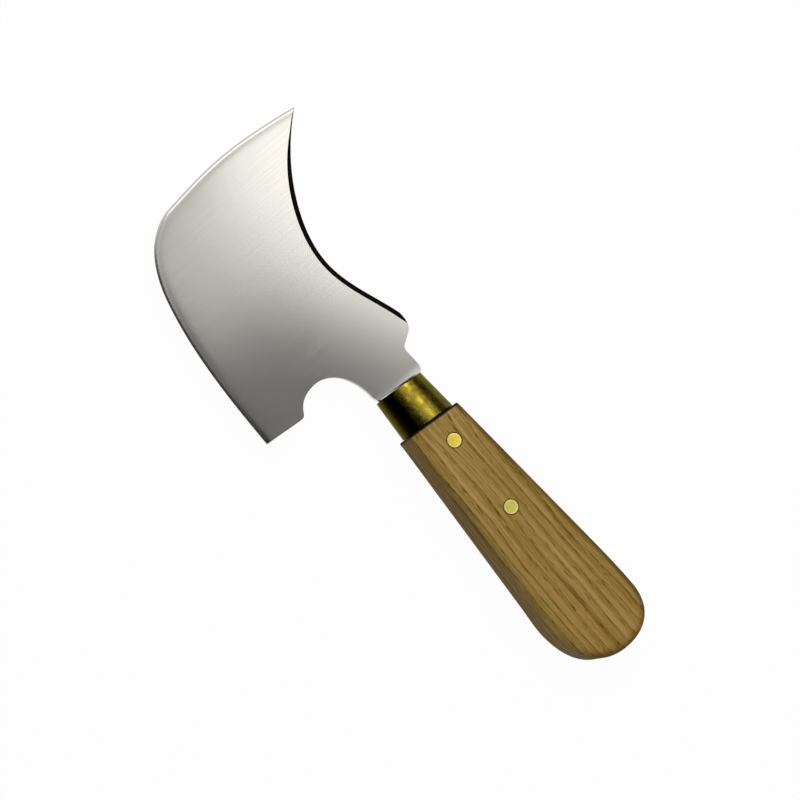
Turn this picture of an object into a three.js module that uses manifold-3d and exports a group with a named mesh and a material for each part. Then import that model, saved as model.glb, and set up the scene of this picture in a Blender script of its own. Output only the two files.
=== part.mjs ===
// Quarter-moon paring knife: a steel blade whose hidden tang lies between two oak scales, bound at the
// front by a tapered brass ferrule and pinned by two brass cutler's rivets. Millimetres, +Z up.
//
// Pieces are drawn about the handle's axis: X = 0 at the wood's shoulder and runs towards the blade,
// Y runs towards the heel, Z = 0 is the middle of the steel. The last group moves that frame to the
// point the knife rests on.
import * as THREE from "three";
import { mergeVertices } from "three/addons/utils/BufferGeometryUtils.js";
import Module from "manifold-3d";

const wasm = await Module();
wasm.setup();

// Handle
const GRIP_LENGTH = 98.9; // shoulder to butt
const SHOULDER_STEP = 0.3; // how far the wood's sides stand out past the ferrule, at the shoulder
const FLAT_STEP = 0.4; // how far the wood's flats stand out past it
const PALM_WIDTH = 31.8; // across the widest part
const SIDE_TO_BUTT = 31; // from the end of each side's straight run to the butt
const SIDE_TO_PALM = 0.63; // how far inside the palm's half width that run ends
const HEEL_PALM_TO_BUTT = 18.9; // from the widest part to the butt, on the heel's side
const HEEL_PALM_TURN = 5; // degrees by which that side has turned in there
const BACK_PALM_TO_BUTT = 14.4; // from the widest part to the butt, on the other side
const BUTT_OFFSET = 1.3; // the butt's crown lies this far from the axis, away from the heel
const EDGE_ROUND = 4; // radius along the long edges

// Ferrule
const FERRULE_LENGTH = 15.2;
const FERRULE_FRONT_DIAMETER = 18.1;
const FERRULE_REAR_DIAMETER = 20.2;
const FERRULE_WALL = 1;
const FERRULE_RIM_ROUND = 0.4;
const SPIGOT_CLEARANCE = 0.15; // wood to ferrule, on the radius
const SPIGOT_SETBACK = 0.3; // the wood ends this far inside the ferrule's mouth
const JOINT_SLANT = 4.6; // degrees off square of the shoulder, the ferrule's rims and the neck's end

// Steel
const STEEL_THICKNESS = 2.4;
const BLADE_LENGTH = 97.4; // end of the neck to the blade's front
const HEEL_REACH = 46.2; // axis to the heel's corner
const TIP_REACH = 36; // axis to the tip, on the other side
const NECK_BACK_WIDTH = 10.5; // axis to the neck's side under the hollow back
const NECK_NOTCH_WIDTH = 9.05; // axis to the neck's side at the finger notch
const NECK_BACK_END_WIDTH = 8.9; // axis to the end of the neck's rounded corner, at the ferrule
const NECK_NOTCH_END_WIDTH = 7.6; // the same on the finger notch's side
const TANG_WIDTH = 11;
const TANG_PAST_RIVET = 11; // from the rear rivet to the tang's end
const TANG_CLEARANCE = 0.2; // pocket round the tang, in the steel's plane

// Grinds, alike on both faces
const EDGE_LAND = 0.1; // thickness left at the cutting edge
const BEVEL_WIDTH = 1.3; // cutting bevel
const BEVEL_THICKNESS = 1; // steel at the top of the cutting bevel
const TAPER_WIDTH = 16; // from the cutting edge to the full thickness
const BACK_LAND = 0.4; // thickness left along the hollow back
const BACK_BEVEL_SLOPE = 28; // degrees

// Rivets
const RIVET_TO_SHOULDER = 9.8;
const RIVET_SPACING = 28.8;
const RIVET_OFFSET = 0.4; // from the axis, away from the heel
const HEAD_DIAMETER = 4.9;
const HEAD_HEIGHT = 1.6;
const HEAD_ROUND = 0.3;
const HEAD_CLEARANCE = 0.3; // head to its seat, on the radius
const PIN_DIAMETER = 2;
const PIN_TO_HEAD = 3.9; // the solid half ends this far under the other half's head
const PIN_CLEARANCE = 0.1; // solid half to the tube round it, on the radius and at its end
const SOCKET_WALL = 0.5;
const SOCKET_TO_HEAD = 1.9; // the tubular half ends this far short of the other half's head
const SHANK_CLEARANCE = 0.2; // tubular half to its bore, on the radius

// Landmarks of the blade's outline: x from the end of the neck, y from the handle's axis, and the heading
// of the outline in degrees. The walk goes from the heel along the cutting edge to the tip, back along the
// hollow, down the neck and, past the tang, out again round the finger notch.
const HEEL = { x: 13.9, y: HEEL_REACH, heading: -0.5 };
const BELLY = { x: BLADE_LENGTH - 28.1, y: HEEL_REACH - 5.2, heading: -14 };
const TURN = { x: BLADE_LENGTH - 8.3, y: HEEL_REACH - 15.6, heading: -48 };
const NOSE = { x: BLADE_LENGTH - 2.9, y: HEEL_REACH - 26.2, heading: -81 };
const FRONT = { x: BLADE_LENGTH, y: -8, heading: -90 };
const TIP = { x: BLADE_LENGTH - 2.3, y: -TIP_REACH, heading: -97.5 };
const TIP_BACK = { x: TIP.x, y: TIP.y, heading: 129 };
const SWEEP = { x: BLADE_LENGTH - 24.1, y: -17.2, heading: 150 };
const HOLLOW = { x: 48.1, y: -9.3, heading: 180 };
const CORNER = { x: 19.8, y: -17.1, heading: 197 };
const CORNER_END = { x: 12.2, y: -15, heading: 124 };
const STEP_END = { x: 10, y: -11.5, heading: 124 };
const NECK_BACK = { x: 7.8, y: 0.25 - NECK_BACK_WIDTH, heading: 182 };
const NECK_BACK_ROUND = { x: 2.2, y: -NECK_BACK_WIDTH, heading: 182 };
const NECK_NOTCH = { x: 4, y: NECK_NOTCH_WIDTH, heading: 3 };
const NOTCH_LOW = { x: 13.8, y: 12.1, heading: 32 };
const NOTCH = { x: 18.9, y: 20.4, heading: 89 };
const NOTCH_HIGH = { x: 17.3, y: 27.1, heading: 121 };
const NOTCH_END = { x: 14, y: 30.2, heading: 149 };
const HEEL_BACK = { x: 12.75, y: 32.2, heading: 91 };

// Fineness
const CURVE_STEPS = 10;
const RUN_PULL = 1 / 3; // how far a heading is felt along a gentle run, as a share of its chord
const ROUND_PULL = 0.44; // the same round a quarter turn
const ROUND_STEPS = 4; // across a rounded edge
const GRIND_STEPS = 60;
const FERRULE_SIDES = 48;
const RIVET_SIDES = 20;
const OVERCUT = 2; // how far a cutter reaches past the face it opens

const HALF_SHOULDER = FERRULE_REAR_DIAMETER / 2 + SHOULDER_STEP;
const HALF_GRIP = FERRULE_REAR_DIAMETER / 2 + FLAT_STEP;
const HALF_PALM = PALM_WIDTH / 2;
const HALF_SIDE = HALF_PALM - SIDE_TO_PALM;
const SIDE_RUN = GRIP_LENGTH - SIDE_TO_BUTT;
const SIDE_FLARE = THREE.MathUtils.radToDeg(Math.atan2(HALF_SIDE - HALF_SHOULDER, SIDE_RUN));
const HALF_STEEL = STEEL_THICKNESS / 2;
const HALF_TANG = TANG_WIDTH / 2;
const SLANT_RUN = Math.tan(THREE.MathUtils.degToRad(JOINT_SLANT)); // x for each y along the slanted joint
const FRONT_RIVET_X = -RIVET_TO_SHOULDER;
const REAR_RIVET_X = FRONT_RIVET_X - RIVET_SPACING;
const TANG_END_X = REAR_RIVET_X - TANG_PAST_RIVET;
const HEAD_RADIUS = HEAD_DIAMETER / 2;
const HEAD_SEAT = HALF_GRIP - HEAD_HEIGHT; // from the middle of the steel
const PIN_RADIUS = PIN_DIAMETER / 2;
const PIN_END = HEAD_SEAT - PIN_TO_HEAD;
const SOCKET_BORE = PIN_RADIUS + PIN_CLEARANCE;
const SOCKET_RADIUS = SOCKET_BORE + SOCKET_WALL;
const SOCKET_END = HEAD_SEAT - SOCKET_TO_HEAD;
const SHANK_BORE = SOCKET_RADIUS + SHANK_CLEARANCE;

const steel = new THREE.MeshStandardMaterial({ color: 0xb4b1ac, roughness: 0.3, metalness: 1 });
const brass = new THREE.MeshStandardMaterial({ color: 0xc9b45c, roughness: 0.25, metalness: 1 });
const oak = new THREE.MeshStandardMaterial({ color: 0x8c703c, roughness: 0.6, metalness: 0 });

// A closed geometry as a solid that can be joined and cut.
function solidOf(geometry) {
  const bare = geometry.index ? geometry.toNonIndexed() : geometry.clone();
  bare.deleteAttribute("normal");
  bare.deleteAttribute("uv");
  const merged = mergeVertices(bare, 1e-4);
  const mesh = new wasm.Mesh({
    numProp: 3,
    vertProperties: merged.attributes.position.array,
    triVerts: new Uint32Array(merged.index.array),
  });
  return new wasm.Manifold(mesh);
}

function geometryOf(solid) {
  const mesh = solid.getMesh();
  const geometry = new THREE.BufferGeometry();
  geometry.setAttribute("position", new THREE.BufferAttribute(mesh.vertProperties, 3));
  geometry.setIndex(new THREE.BufferAttribute(mesh.triVerts, 1));
  geometry.computeVertexNormals();
  return geometry;
}

function cutAll(solid, cutters) {
  return cutters.reduce((left, cutter) => left.subtract(solidOf(cutter)), solid);
}

function piece(name, geometry, material) {
  const mesh = new THREE.Mesh(geometry, material);
  mesh.name = name;
  return mesh;
}

// A plate of the shape's outline, as thick above the middle of the steel as below it.
function plate(shape, thickness) {
  const settings = { depth: thickness, bevelEnabled: false, curveSegments: CURVE_STEPS };
  return new THREE.ExtrudeGeometry(shape, settings).translate(0, 0, -thickness / 2);
}

function block(low, high) {
  const size = new THREE.Vector3().subVectors(high, low);
  const middle = new THREE.Vector3().addVectors(low, high).multiplyScalar(0.5);
  return new THREE.BoxGeometry(size.x, size.y, size.z).translate(middle.x, middle.y, middle.z);
}

// Turned about the handle's axis, from [x, radius] points that run backwards along the outside.
function turnedAlongX(profile) {
  const points = profile.map(([x, radius]) => new THREE.Vector2(radius, -x));
  return new THREE.LatheGeometry(points, FERRULE_SIDES).rotateZ(Math.PI / 2);
}

// Turned about a rivet's axis, from [radius, z] points that run upwards along the outside.
function turnedAlongZ(profile, x) {
  const points = profile.map(([radius, z]) => new THREE.Vector2(radius, z));
  return new THREE.LatheGeometry(points, RIVET_SIDES).rotateX(Math.PI / 2).translate(x, -RIVET_OFFSET, 0);
}

function drill(radius, x, low, high) {
  return turnedAlongZ([[0, low], [radius, low], [radius, high], [0, high]], x);
}

// Shifts a shape along the handle's axis as the joint slants: forwards towards the heel, back away from it.
function slanted(geometry) {
  return geometry.applyMatrix4(new THREE.Matrix4().makeShear(0, 0, SLANT_RUN, 0, 0, 0));
}

// Points of a quarter round between two directions given in degrees, about a centre.
function quarterRound(centreA, centreB, radius, fromAngle, toAngle) {
  return Array.from({ length: ROUND_STEPS + 1 }, (_, i) => {
    const angle = THREE.MathUtils.degToRad(THREE.MathUtils.lerp(fromAngle, toAngle, i / ROUND_STEPS));
    return [centreA + radius * Math.cos(angle), centreB + radius * Math.sin(angle)];
  });
}

function direction(heading) {
  const angle = THREE.MathUtils.degToRad(heading);
  return new THREE.Vector3(Math.cos(angle), Math.sin(angle), 0);
}

function placeOf(landmark) {
  return new THREE.Vector3(landmark.x, landmark.y, 0);
}

// The curve from one landmark to the next that leaves and arrives along their headings.
function curveBetween(from, to, share) {
  const start = placeOf(from);
  const end = placeOf(to);
  const pull = share * start.distanceTo(end);
  const afterStart = placeOf(from).addScaledVector(direction(from.heading), pull);
  const beforeEnd = placeOf(to).addScaledVector(direction(to.heading), -pull);
  return new THREE.CubicBezierCurve3(start, afterStart, beforeEnd, end);
}

function curvesThrough(landmarks, share) {
  return landmarks.slice(1).map((to, i) => curveBetween(landmarks[i], to, share));
}

function walk(shape, landmarks, share = RUN_PULL) {
  for (const { v1, v2, v3 } of curvesThrough(landmarks, share)) {
    shape.bezierCurveTo(v1.x, v1.y, v2.x, v2.y, v3.x, v3.y);
  }
}

// Blade
const CUTTING_EDGE = [HEEL, BELLY, TURN, NOSE, FRONT, TIP];
const HOLLOW_BACK = [TIP_BACK, SWEEP, HOLLOW, CORNER];
const FINGER_NOTCH = [NECK_NOTCH, NOTCH_LOW, NOTCH, NOTCH_HIGH, NOTCH_END];

// The neck's rounded corners end on the slanted joint.
const NECK_BACK_END = { x: -NECK_BACK_END_WIDTH * SLANT_RUN, y: -NECK_BACK_END_WIDTH, heading: 85 };
const NECK_NOTCH_END = { x: NECK_NOTCH_END_WIDTH * SLANT_RUN, y: NECK_NOTCH_END_WIDTH, heading: 50 };

// Carries an outline round the tang from its lower root to its upper one, at a distance from the steel.
function walkTang(shape, rootX, endX, clearance) {
  const half = HALF_TANG + clearance;
  const centreX = endX + HALF_TANG;
  shape.lineTo(rootX - half * SLANT_RUN, -half);
  shape.lineTo(centreX, -half);
  shape.absarc(centreX, 0, half, -Math.PI / 2, Math.PI / 2, true);
  shape.lineTo(rootX + half * SLANT_RUN, half);
}

function bladeOutline() {
  const shape = new THREE.Shape();
  shape.moveTo(HEEL.x, HEEL.y);
  walk(shape, CUTTING_EDGE);
  walk(shape, HOLLOW_BACK);
  walk(shape, [CORNER, CORNER_END]);
  shape.lineTo(STEP_END.x, STEP_END.y);
  walk(shape, [STEP_END, NECK_BACK]);
  shape.lineTo(NECK_BACK_ROUND.x, NECK_BACK_ROUND.y);
  walk(shape, [NECK_BACK_ROUND, NECK_BACK_END]);
  walkTang(shape, 0, TANG_END_X - FERRULE_LENGTH, 0);
  shape.lineTo(NECK_NOTCH_END.x, NECK_NOTCH_END.y);
  walk(shape, [NECK_NOTCH_END, ...FINGER_NOTCH]);
  walk(shape, [NOTCH_END, HEEL_BACK], ROUND_PULL);
  shape.closePath();
  return shape;
}

// The curves through the landmarks, run on straight past both ends.
function grindPath(landmarks, runOn) {
  const first = landmarks[0];
  const last = landmarks.at(-1);
  const lead = placeOf(first).addScaledVector(direction(first.heading), -runOn);
  const tail = placeOf(last).addScaledVector(direction(last.heading), runOn);
  const path = new THREE.CurvePath();
  path.add(new THREE.LineCurve3(lead, placeOf(first)));
  curvesThrough(landmarks, RUN_PULL).forEach((curve) => path.add(curve));
  path.add(new THREE.LineCurve3(placeOf(last), tail));
  return path;
}

// What a grind takes off one face, from a profile of [depth, height] points: depth in from the edge, on
// the right of the walk, and height over the middle of the steel.
function grind(landmarks, profile, runOn, face) {
  const points = profile.map(([depth, height]) => new THREE.Vector2(-face * height, -depth));
  const extrudePath = grindPath(landmarks, runOn);
  const settings = { extrudePath, steps: GRIND_STEPS, bevelEnabled: false };
  return new THREE.ExtrudeGeometry(new THREE.Shape(points), settings);
}

// The cutting bevel, and over it the long taper that runs out into the face of the plate.
function edgeGrind(face) {
  const slope = (HALF_STEEL - BEVEL_THICKNESS / 2) / (TAPER_WIDTH - BEVEL_WIDTH);
  const profile = [
    [-OVERCUT, EDGE_LAND / 2],
    [0, EDGE_LAND / 2],
    [BEVEL_WIDTH, BEVEL_THICKNESS / 2],
    [TAPER_WIDTH + OVERCUT, HALF_STEEL + OVERCUT * slope],
    [-OVERCUT, HALF_STEEL + OVERCUT],
  ];
  return grind(CUTTING_EDGE, profile, TAPER_WIDTH, face);
}

// The bevel along the hollow back, which narrows where the taper thins the steel towards the tip.
function backGrind(face) {
  const rise = Math.tan(THREE.MathUtils.degToRad(BACK_BEVEL_SLOPE));
  const width = (HALF_STEEL - BACK_LAND / 2) / rise;
  const profile = [
    [-OVERCUT, BACK_LAND / 2],
    [0, BACK_LAND / 2],
    [width + OVERCUT, HALF_STEEL + OVERCUT * rise],
    [-OVERCUT, HALF_STEEL + OVERCUT * rise],
  ];
  return grind(HOLLOW_BACK, profile, TAPER_WIDTH, face);
}

// The blade is drawn from the end of its neck, which stands against the ferrule's mouth.
function makeBlade() {
  const cutters = [1, -1].flatMap((face) => [edgeGrind(face), backGrind(face)]);
  for (const x of [FRONT_RIVET_X, REAR_RIVET_X]) {
    cutters.push(drill(SHANK_BORE, x - FERRULE_LENGTH, -HALF_STEEL - OVERCUT, HALF_STEEL + OVERCUT));
  }
  const ground = cutAll(solidOf(plate(bladeOutline(), STEEL_THICKNESS)), cutters);
  const blade = piece("blade", geometryOf(ground), steel);
  blade.position.x = FERRULE_LENGTH;
  return blade;
}

// Ferrule
function makeFerrule() {
  const front = FERRULE_FRONT_DIAMETER / 2;
  const rear = FERRULE_REAR_DIAMETER / 2;
  const round = FERRULE_RIM_ROUND;
  const profile = [
    [FERRULE_LENGTH, front - FERRULE_WALL],
    ...quarterRound(FERRULE_LENGTH - round, front - round, round, 0, 90),
    ...quarterRound(round, rear - round, round, 90, 180),
    [0, rear - FERRULE_WALL],
    [FERRULE_LENGTH, front - FERRULE_WALL],
  ];
  return piece("ferrule", slanted(turnedAlongX(profile)), brass);
}

// Handle
function gripOutline() {
  const frontX = 2 * EDGE_ROUND;
  const heelSide = { x: -SIDE_RUN, y: HALF_SIDE, heading: 180 - SIDE_FLARE };
  const heelPalm = { x: HEEL_PALM_TO_BUTT - GRIP_LENGTH, y: HALF_PALM, heading: 180 + HEEL_PALM_TURN };
  const backPalm = { x: BACK_PALM_TO_BUTT - GRIP_LENGTH, y: -HALF_PALM, heading: 0 };
  const backSide = { x: -SIDE_RUN, y: -HALF_SIDE, heading: SIDE_FLARE };
  const crown = { x: -GRIP_LENGTH, y: -BUTT_OFFSET, heading: 270 };
  const shape = new THREE.Shape();
  shape.moveTo(frontX, HALF_SHOULDER);
  shape.lineTo(0, HALF_SHOULDER);
  shape.lineTo(heelSide.x, heelSide.y);
  walk(shape, [heelSide, heelPalm]);
  walk(shape, [heelPalm, crown, backPalm], ROUND_PULL);
  walk(shape, [backPalm, backSide]);
  shape.lineTo(0, -HALF_SHOULDER);
  shape.lineTo(frontX, -HALF_SHOULDER);
  shape.closePath();
  return shape;
}

// The rounded block of wood, cut off at the shoulder.
function gripBody() {
  const depth = 2 * (HALF_GRIP - EDGE_ROUND);
  const rounded = new THREE.ExtrudeGeometry(gripOutline(), {
    depth,
    bevelThickness: EDGE_ROUND,
    bevelSize: EDGE_ROUND,
    bevelOffset: -EDGE_ROUND,
    bevelSegments: ROUND_STEPS,
    curveSegments: CURVE_STEPS,
  }).translate(0, 0, -depth / 2);
  const across = HALF_SHOULDER + OVERCUT;
  const outside = HALF_GRIP + OVERCUT;
  const ahead = 2 * EDGE_ROUND + OVERCUT;
  const low = new THREE.Vector3(0, -across, -outside);
  const high = new THREE.Vector3(ahead, across, outside);
  return cutAll(solidOf(rounded), [slanted(block(low, high))]);
}

// The round front of the wood that fills the ferrule. It starts inside the block, on the same taper.
function spigot() {
  const taper = (FERRULE_REAR_DIAMETER - FERRULE_FRONT_DIAMETER) / 2 / FERRULE_LENGTH;
  const radiusAt = (x) => FERRULE_REAR_DIAMETER / 2 - FERRULE_WALL - SPIGOT_CLEARANCE - taper * x;
  const front = FERRULE_LENGTH - SPIGOT_SETBACK;
  const profile = [[front, 0], [front, radiusAt(front)], [-OVERCUT, radiusAt(0)], [-OVERCUT, 0]];
  return slanted(turnedAlongX(profile));
}

function tangPocket() {
  const mouth = FERRULE_LENGTH + OVERCUT;
  const shape = new THREE.Shape();
  shape.moveTo(mouth, 0);
  walkTang(shape, mouth, TANG_END_X, TANG_CLEARANCE);
  shape.closePath();
  return plate(shape, STEEL_THICKNESS);
}

function makeScales() {
  const seat = HEAD_RADIUS + HEAD_CLEARANCE;
  const outside = HALF_GRIP + OVERCUT;
  const cutters = [tangPocket()];
  for (const x of [FRONT_RIVET_X, REAR_RIVET_X]) {
    cutters.push(drill(SHANK_BORE, x, -outside, outside));
    cutters.push(drill(seat, x, HEAD_SEAT, outside));
    cutters.push(drill(seat, x, -outside, -HEAD_SEAT));
  }
  const grip = cutAll(gripBody().add(solidOf(spigot())), cutters);
  const reach = GRIP_LENGTH + PALM_WIDTH;
  const half = (low, high) => {
    const side = block(new THREE.Vector3(-reach, -reach, low), new THREE.Vector3(reach, reach, high));
    return geometryOf(grip.intersect(solidOf(side)));
  };
  return [piece("near_scale", half(0, outside), oak), piece("far_scale", half(-outside, 0), oak)];
}

// Rivets
function makeSocket(name, x) {
  const boreEnd = PIN_END + PIN_CLEARANCE;
  const profile = [
    [0, boreEnd],
    [SOCKET_BORE, boreEnd],
    [SOCKET_BORE, -SOCKET_END],
    [SOCKET_RADIUS, -SOCKET_END],
    [SOCKET_RADIUS, HEAD_SEAT],
    [HEAD_RADIUS, HEAD_SEAT],
    ...quarterRound(HEAD_RADIUS - HEAD_ROUND, HALF_GRIP - HEAD_ROUND, HEAD_ROUND, 0, 90),
    [0, HALF_GRIP],
  ];
  return piece(name, turnedAlongZ(profile, x), brass);
}

function makePin(name, x) {
  const profile = [
    [0, -HALF_GRIP],
    ...quarterRound(HEAD_RADIUS - HEAD_ROUND, HEAD_ROUND - HALF_GRIP, HEAD_ROUND, -90, 0),
    [HEAD_RADIUS, -HEAD_SEAT],
    [PIN_RADIUS, -HEAD_SEAT],
    [PIN_RADIUS, PIN_END],
    [0, PIN_END],
  ];
  return piece(name, turnedAlongZ(profile, x), brass);
}

// The knife lies on the flat of its far scale, with the origin under the middle of the two rivets.
const knife = new THREE.Group();
knife.position.set(RIVET_TO_SHOULDER + RIVET_SPACING / 2, 0, HALF_GRIP);
knife.add(makeBlade(), makeFerrule(), ...makeScales());
knife.add(makeSocket("front_rivet_socket", FRONT_RIVET_X), makePin("front_rivet_pin", FRONT_RIVET_X));
knife.add(makeSocket("rear_rivet_socket", REAR_RIVET_X), makePin("rear_rivet_pin", REAR_RIVET_X));

const part = new THREE.Group();
part.add(knife);
export default part;
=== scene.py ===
"""Quarter-moon paring knife: ground steel, spun brass and oiled oak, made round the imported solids.

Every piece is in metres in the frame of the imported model: +X runs along the handle's axis towards the
blade, +Y towards the heel, and +Z up out of the near scale.
"""
import math

import bmesh
import bpy
import numpy as np
from bpy.props import FloatProperty, FloatVectorProperty, PointerProperty
from mathutils import Matrix, Vector
from mathutils.geometry import delaunay_2d_cdt


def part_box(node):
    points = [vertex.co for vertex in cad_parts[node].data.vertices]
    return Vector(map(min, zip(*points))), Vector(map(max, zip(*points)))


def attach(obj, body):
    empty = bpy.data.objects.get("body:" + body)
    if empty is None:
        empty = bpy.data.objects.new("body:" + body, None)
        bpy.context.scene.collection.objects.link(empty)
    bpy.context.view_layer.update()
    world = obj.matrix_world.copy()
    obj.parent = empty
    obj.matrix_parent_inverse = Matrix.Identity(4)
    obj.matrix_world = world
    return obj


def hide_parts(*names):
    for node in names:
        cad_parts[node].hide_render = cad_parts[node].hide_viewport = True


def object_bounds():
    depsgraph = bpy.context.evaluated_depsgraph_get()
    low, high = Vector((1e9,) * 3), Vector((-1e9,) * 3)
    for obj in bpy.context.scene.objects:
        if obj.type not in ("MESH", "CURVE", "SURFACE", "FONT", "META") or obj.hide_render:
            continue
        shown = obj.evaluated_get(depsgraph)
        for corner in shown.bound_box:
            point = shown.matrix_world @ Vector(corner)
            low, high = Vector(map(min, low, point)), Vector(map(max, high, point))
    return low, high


bl_info = {
    "name": "Quarter-moon paring knife",
    "version": (1, 0, 0),
    "blender": (4, 5, 0),
    "location": "View3D > Sidebar > Knife",
    "description": "Builds the finished blade, ferrule, scales and rivets of a paring knife, and its stage",
    "category": "Object",
}

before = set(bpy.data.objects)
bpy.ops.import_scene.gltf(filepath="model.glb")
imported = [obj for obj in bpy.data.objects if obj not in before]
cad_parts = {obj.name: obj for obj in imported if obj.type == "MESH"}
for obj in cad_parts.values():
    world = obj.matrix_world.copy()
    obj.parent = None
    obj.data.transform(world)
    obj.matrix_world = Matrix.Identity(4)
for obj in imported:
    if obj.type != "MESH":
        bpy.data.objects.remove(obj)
CAD_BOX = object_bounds()
MM = 0.001

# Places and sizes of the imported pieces. The joint at the ferrule slants: its x grows with y by this share.
FERRULE_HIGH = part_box("ferrule")[1]
BLADE_LOW, BLADE_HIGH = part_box("blade")
GRIP_LOW, GRIP_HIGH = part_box("near_scale")
TANG_END_X = BLADE_LOW.x
MIDDLE_Z = (BLADE_LOW.z + BLADE_HIGH.z) / 2
HALF_STEEL = (BLADE_HIGH.z - BLADE_LOW.z) / 2
HALF_GRIP = GRIP_HIGH.z - MIDDLE_Z
FERRULE_REAR_RADIUS = FERRULE_HIGH.y
GRIP_LENGTH = 98.9 * MM
FERRULE_LENGTH = 15.2 * MM
SHOULDER_X = GRIP_LOW.x + GRIP_LENGTH
NECK_X = SHOULDER_X + FERRULE_LENGTH
JOINT_SLANT = math.tan(math.radians(4.6))

# The blade's outline, clockwise on the near face: x from the neck's end and y from the handle's axis in
# millimetres, and the outline's heading in degrees
NECK_BACK_WIDTH = 10.5
NECK_NOTCH_WIDTH = 9.05
NECK_BACK_END_WIDTH = 8.9
NECK_NOTCH_END_WIDTH = 7.6
HEEL = (13.9, 46.2, -0.5)
BELLY = (69.3, 41, -14)
TURN = (89.1, 30.6, -48)
NOSE = (94.5, 20, -81)
FRONT = (97.4, -8, -90)
TIP = (95.1, -36, -97.5)
TIP_BACK = (95.1, -36, 129)
SWEEP = (73.3, -17.2, 150)
HOLLOW = (48.1, -9.3, 180)
CORNER = (19.8, -17.1, 197)
CORNER_END = (12.2, -15, 124)
STEP_END = (10, -11.5, 124)
NECK_BACK = (7.8, 0.25 - NECK_BACK_WIDTH, 182)
NECK_BACK_ROUND = (2.2, -NECK_BACK_WIDTH, 182)
NECK_BACK_END = (-NECK_BACK_END_WIDTH * JOINT_SLANT, -NECK_BACK_END_WIDTH, 85)
NECK_NOTCH_END = (NECK_NOTCH_END_WIDTH * JOINT_SLANT, NECK_NOTCH_END_WIDTH, 50)
NECK_NOTCH = (4, NECK_NOTCH_WIDTH, 3)
NOTCH_LOW = (13.8, 12.1, 32)
NOTCH = (18.9, 20.4, 89)
NOTCH_HIGH = (17.3, 27.1, 121)
NOTCH_END = (14, 30.2, 149)
HEEL_BACK = (12.75, 32.2, 91)

# The handle's outline in millimetres and degrees, and how far a heading is felt along a curve
SHOULDER_STEP = 0.3
PALM_WIDTH = 31.8
SIDE_TO_BUTT = 31
SIDE_TO_PALM = 0.63
HEEL_PALM_TO_BUTT = 18.9
HEEL_PALM_TURN = 5
BACK_PALM_TO_BUTT = 14.4
BUTT_OFFSET = 1.3
RUN_PULL = 1 / 3
ROUND_PULL = 0.44

# Fits inside the handle, in millimetres
TANG_WIDTH = 11
TANG_CLEARANCE = 0.2
SPIGOT_CLEARANCE = 0.15
SPIGOT_SETBACK = 0.3
SHANK_BORE_RADIUS = 1.8
SOCKET_RADIUS = 1.6
SOCKET_BORE_RADIUS = 1.1
PIN_RADIUS = 1
PIN_END_CLEARANCE = 0.1
HEAD_CLEARANCE = 0.28
HEAD_HEIGHT = 1.6

# Soft panels overhead: the brightness of each, two of its corners from the origin in millimetres, and the
# pieces that it lights, where it is shaded from the others
PANELS = {
    "key": (2.0, (100, -380), (295, -180), None),
    "key_rear": (2.5, (56, -380), (100, -207), None),
    "blade_panel": (0.915, (144, -180), (268, -63), None),
    "heel_panel": (0.17, (20, -125), (144, 40), None),
    "front_panel": (0.75, (280, -235), (420, -60), None),
    "tip_panel": (1.25, (295, -420), (420, -235), None),
    "edge_panel": (2.1, (420, -420), (640, -60), None),
    "nose_panel": (0.8, (300, -60), (460, 120), None),
    "turn_panel": (0.6, (215, -63), (300, 180), None),
    "belly_panel": (0.24, (100, -63), (215, 180), None),
    "rear_panel": (0.7, (20, -900), (200, -380), None),
    "rivet_panel": (1.25, (-200, -320), (10, -40), None),
    "ferrule_panel": (1.85, (60, -140), (190, 190), ("spun_ferrule",)),
}

# Pale walls round the stage, which the steel and the rivets mirror from the sides: their distance, foot and
# top in millimetres, their brightness and the turn from one to the next in degrees. They stand higher on the
# sides that the metal doesn't show to the camera.
WALL_REACH = 1600
WALL_FOOT = 330
WALL_TOP = 2300
HIGH_WALL_TOP = 4400
WALL_BRIGHTNESS = 0.6
WALL_TURN = 45
HIGH_WALL_TURNS = (45, 90, 135, 180, 225)
WALL_MIRRORS = ("ground_blade", "front_brass_socket", "rear_brass_socket")
END_WALL_MIRRORS = (*WALL_MIRRORS, "spun_ferrule")

# Floor, fill light and camera, in millimetres
FLOOR_HALF = 12000
FLOOR_GAP = 0.05
FILL_SIZE = 1600
FILL_PLACE = (200, -140, 1300)
AIM = (36.078, 2.175)
LENS = 100
SENSOR_WIDTH = 36

# Scratches on the rivets, in millimetres
SCRATCH = (4, 0.3, 1)

# The oak's grain: the lean of its rings in radians, the pitch of a plain wave, how far the rings wander and
# over what distances, and each layer's length and width of mark, all in millimetres, and its detail
RING_LEAN = 0.6
WAVE_PITCH = math.pi / 10
WANDER = (0, 5, 2)
WANDER_SPAN = (55, 9, 14)
GRAIN_LAYERS = {
    "band": (70, 4.5, 1),
    "streak": (45, 1, 2),
    "fibre": (14, 0.4, 3),
    "pore": (5, 0.35, 1),
    "patch": (40, 8, 1),
    "fleck": (2.4, 0.4, 1),
}

# What the rings and layers add to the wood's lightness, and where its three browns lie on it
RING_WEIGHT = 0.2
LAYER_WEIGHTS = {"band": 0.3, "streak": 0.5, "fibre": 0.4, "fleck": 0.22}
DARK_OAK, MIDDLE_OAK, PALE_OAK = (0.56, 0.78, 0.98)

# Where the painted shadow in the corner at the ferrule begins and is full, in millimetres behind the shoulder
JOINT_SHADOW_START = 1.1
JOINT_SHADOW_FULL = 0.6

# Fineness: steps along a curve and across a rounding, sides of turned pieces, rings of a rivet's dome as
# shares of its radius, lines along the grinds and the neck's swell, and halvings of a search
CURVE_STEPS = 32
ROUND_STEPS = 10
FERRULE_SIDES = 128
RIVET_SIDES = 64
DOME_RINGS = (0.75, 0.5, 0.25, 0)
GRIND_LINES = 16
SWELL_LINES = 6
HALVINGS = 24

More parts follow.
